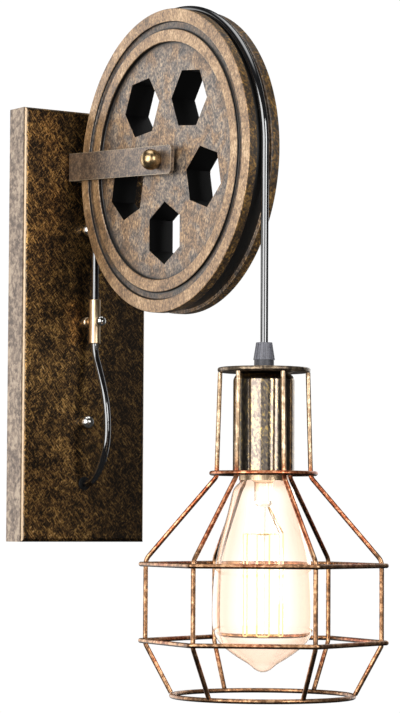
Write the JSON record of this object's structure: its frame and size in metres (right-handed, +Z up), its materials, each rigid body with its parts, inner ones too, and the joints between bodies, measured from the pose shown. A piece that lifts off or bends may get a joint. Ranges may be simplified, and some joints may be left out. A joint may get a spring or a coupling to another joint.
{
  "type": "industrial pulley wall light",
  "caption": "Wall light whose caged lamp hangs on a cord over a pulley wheel; a yoke on a backplate carries the wheel and a clamp sets the lamp's height.",
  "frame": {"origin": "middle of the backplate on the wall plane, which the crossbar's rear face lies in", "axes": "+Z up the backplate, +Y into the wall so the front faces -Y, +X to the right as seen from the front"},
  "size_m": [0.1494, 0.3137, 0.4533],
  "materials": {
    "bronze_plate": "antique bronze paint, dark with gold speckle",
    "bronze_wheel": "cast aluminium under antique bronze paint with fine speckle",
    "bronze_yoke": "antique bronze paint, satin",
    "bronze_cage": "antique copper bronze over steel wire, satin",
    "bronze_cup": "polished antique bronze with gold speckle",
    "antique_brass": "polished antique brass",
    "brushed_brass": "brushed brass",
    "nickel": "bright nickel plate",
    "zinc_steel": "zinc-plated steel",
    "black_pvc": "glossy black PVC sheath",
    "grip_plastic": "dark grey moulded nylon",
    "black_rubber": "matt black rubber",
    "cream_plastic": "moulded nylon",
    "porcelain": "unglazed porcelain",
    "clear_glass": "clear blown glass",
    "black_glass": "black vitreous insulator",
    "solder": "soft solder",
    "molybdenum": "drawn support wire",
    "filament": "glowing carbon-style filament"
  },
  "bodies": {
    "wall_mount": {"backplate": "bronze_plate", "wall_crossbar": "zinc_steel", "crossbar_studs": "zinc_steel", "stud_locknuts": "zinc_steel", "plate_ball_nuts": "nickel", "earth_screw": "zinc_steel", "yoke": "bronze_yoke", "yoke_screws": "zinc_steel", "yoke_nuts": "zinc_steel", "axle": "zinc_steel", "axle_ball_nuts": "antique_brass", "axle_spacers": "zinc_steel", "clamp_post": "brushed_brass", "clamp_post_nut": "zinc_steel", "clamp_tube": "brushed_brass", "cord_entry_bush": "black_rubber", "cord_anchor": "grip_plastic", "terminal_block": "cream_plastic", "terminal_screws": "zinc_steel", "cord_tail": "black_pvc", "cord_slack": "black_pvc", "cord_rise": "black_pvc", "cord_over_wheel": "black_pvc"},
    "wheel": {"pulley_wheel": "bronze_wheel", "wheel_bush": "brushed_brass"},
    "pinch_screw": {"clamp_screw": "nickel"},
    "cord_side_link": {"cord_swivel": "black_pvc"},
    "cord_fore_link": {"cord_drop": "black_pvc"},
    "lamp": {"cord_grip_nut": "grip_plastic", "cord_grip_collet": "black_rubber", "cord_grip_body": "grip_plastic", "nipple_nut": "zinc_steel", "cage_top_disc": "bronze_cage", "cage_neck_ring": "bronze_cage", "cage_upper_belt": "bronze_cage", "cage_lower_belt": "bronze_cage", "cage_bottom_ring": "bronze_cage", "socket_cup": "bronze_cup", "lampholder_cap": "porcelain", "lampholder_body": "porcelain", "lampholder_shell": "brushed_brass", "lampholder_contact": "brushed_brass", "lampholder_screws": "zinc_steel", "lamp_cord_tail": "black_pvc", "cage_rib_1": "bronze_cage", "cage_rib_2": "bronze_cage", "cage_rib_3": "bronze_cage", "cage_rib_4": "bronze_cage", "cage_rib_5": "bronze_cage", "cage_rib_6": "bronze_cage"},
    "bulb": {"bulb_glass": "clear_glass", "bulb_cap": "brushed_brass", "bulb_insulator": "black_glass", "bulb_contact": "solder", "bulb_stem": "clear_glass", "bulb_leads": "molybdenum", "bulb_supports": "molybdenum", "bulb_filament": "filament"}
  },
  "joints": [
    {"name": "wheel_spin", "type": "hinge", "parent": "wall_mount", "child": "wheel", "pos_m": [0, -0.1345, 0.1035], "axis": [1, 0, 0], "range_deg": [-28.3, 0]},
    {"name": "clamp_screw_turn", "type": "hinge", "parent": "wall_mount", "child": "pinch_screw", "pos_m": [0, -0.0332, 0.0025], "axis": [0, -1, 0], "range_deg": [0, 720]},
    {"name": "swing_side", "type": "hinge", "parent": "wall_mount", "child": "cord_side_link", "pos_m": [0, -0.2358, 0.0735], "axis": [0, 1, 0], "range_deg": [-12, 12]},
    {"name": "swing_fore", "type": "hinge", "parent": "cord_side_link", "child": "cord_fore_link", "pos_m": [0, -0.2358, 0.0615], "axis": [1, 0, 0], "range_deg": [-15, 10]},
    {"name": "lamp_lift", "type": "slide", "parent": "cord_fore_link", "child": "lamp", "axis": [0, 0, 1], "range_m": [0, 0.05], "deforming": ["cord_drop"]},
    {"name": "bulb_turn", "type": "hinge", "parent": "lamp", "child": "bulb", "pos_m": [0, -0.2358, -0.1], "axis": [0, 0, -1], "range_deg": [0, 1080]}
  ],
  "couplings": [
    {"joint": "wheel_spin", "follows": "lamp_lift", "rad_per_m": -9.8717}
  ]
}
